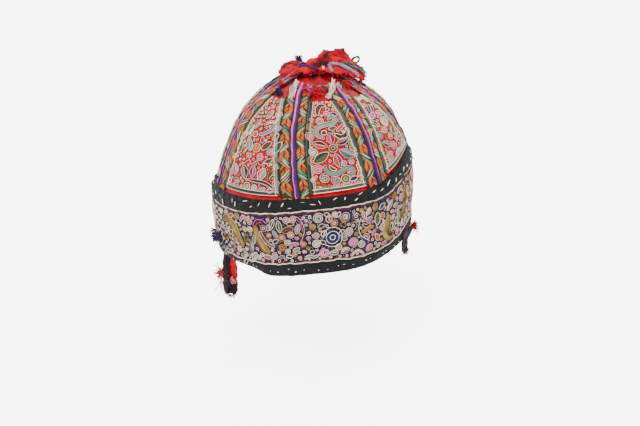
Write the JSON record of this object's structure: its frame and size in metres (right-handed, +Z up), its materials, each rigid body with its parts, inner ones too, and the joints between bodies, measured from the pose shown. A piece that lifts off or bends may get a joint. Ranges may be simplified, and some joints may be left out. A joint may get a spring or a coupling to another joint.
{
  "type": "embroidered baby hat",
  "caption": "Small domed cloth hat of sewn gores gathered at the top into a ruffle, with embroidered panels, braids over the seams, a deep band, dark bindings and short ties.",
  "frame": {"origin": "inside the top of the crown, under its gather, where the top of the head meets it", "axes": "+Z up as worn, -Y the front of the hat, +X the wearer's left"},
  "size_m": [0.1607, 0.1664, 0.195],
  "materials": {
    "gore_cloth": "plain red cotton",
    "panel_embroidery": "red satin with couched cords and satin stitch",
    "seam_cord": "twisted silk cord",
    "braid": "satin stitch in chevrons",
    "band_satin": "purple satin with couched cords",
    "binding": "black cotton, hand sewn",
    "tie": "worn dark cotton"
  },
  "bodies": {
    "root": {"crown_gore_1": "gore_cloth", "crown_gore_2": "gore_cloth", "crown_gore_3": "gore_cloth", "crown_gore_4": "gore_cloth", "crown_gore_5": "gore_cloth", "crown_gore_6": "gore_cloth", "crown_gore_7": "gore_cloth", "top_gather": "gore_cloth", "crown_panel_1": "panel_embroidery", "crown_panel_2": "panel_embroidery", "crown_panel_3": "panel_embroidery", "crown_panel_4": "panel_embroidery", "crown_panel_5": "panel_embroidery", "crown_panel_6": "panel_embroidery", "crown_panel_7": "panel_embroidery", "seam_cord_1": "seam_cord", "seam_cord_2": "seam_cord", "seam_cord_3": "seam_cord", "seam_cord_4": "seam_cord", "seam_cord_5": "seam_cord", "seam_cord_6": "seam_cord", "seam_cord_7": "seam_cord", "braid_1_right": "braid", "braid_1_left": "braid", "braid_2_right": "braid", "braid_2_left": "braid", "braid_3_right": "braid", "braid_3_left": "braid", "braid_4_right": "braid", "braid_4_left": "braid", "braid_5_right": "braid", "braid_5_left": "braid", "braid_6_right": "braid", "braid_6_left": "braid", "braid_7_right": "braid", "braid_7_left": "braid", "band": "band_satin", "upper_binding": "binding", "lower_binding": "binding", "tie_right": "tie", "tie_left": "tie"}
  },
  "joints": []
}
